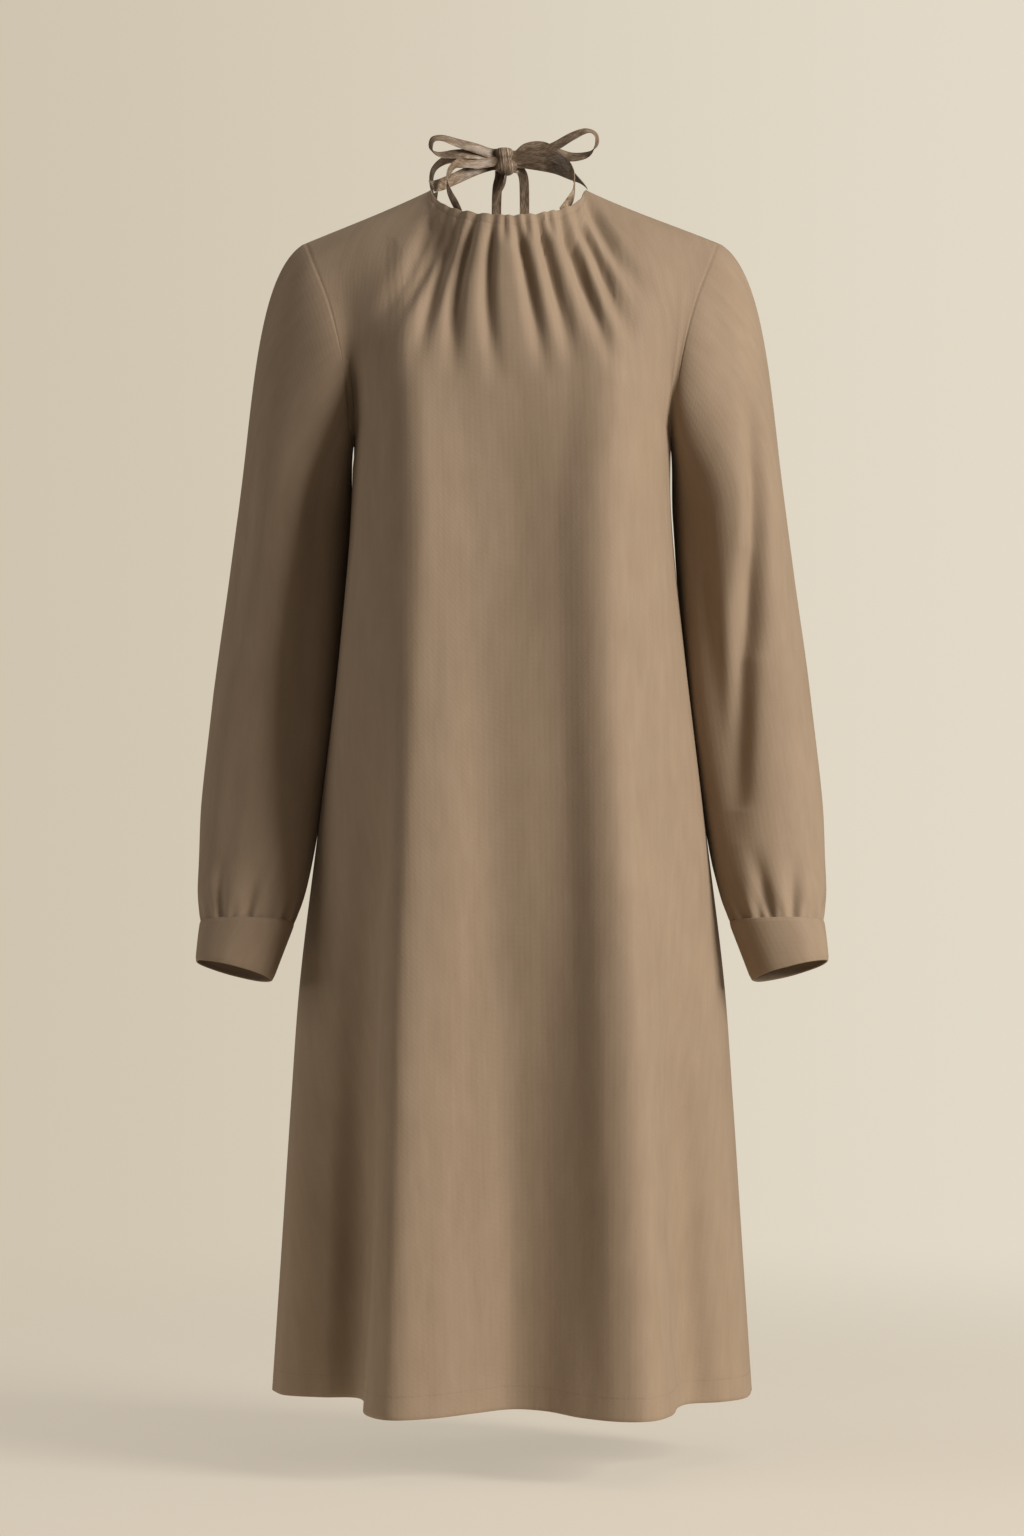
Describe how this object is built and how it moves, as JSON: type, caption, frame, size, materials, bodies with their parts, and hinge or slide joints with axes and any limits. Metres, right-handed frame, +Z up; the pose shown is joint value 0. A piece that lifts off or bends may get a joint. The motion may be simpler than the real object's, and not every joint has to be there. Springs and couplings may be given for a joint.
{
  "type": "long-sleeved dress with a gathered neckline and ribbon tie",
  "caption": "A-line dress hung as if worn: gathered round neckline on a ribbon tied in a bow at the nape, set-in sleeves with narrow cuffs, softly waved hem.",
  "frame": {"origin": "middle of the neck opening, level with the neck ends of the shoulder seams, where a wearer's neck and shoulders hold the dress", "axes": "+Z up, the front of the dress faces -Y, +X towards the wearer's left"},
  "size_m": [0.5802, 0.367, 1.1738],
  "materials": {
    "crepe": "plain fine woven crepe with a soft sheen",
    "ribbon": "ribbed flat ribbon"
  },
  "bodies": {
    "root": {"front": "crepe", "back": "crepe", "sleeve_left": "crepe", "sleeve_right": "crepe", "cuff_left": "crepe", "cuff_right": "crepe", "neckband_left": "ribbon", "neckband_right": "ribbon", "neck_ring_left": "ribbon", "neck_ring_right": "ribbon", "bow_knot": "ribbon", "bow_loop_left": "ribbon", "bow_loop_right": "ribbon", "tail_left": "ribbon", "tail_middle": "ribbon", "tail_right": "ribbon", "tail_shoulder": "ribbon"}
  },
  "joints": []
}
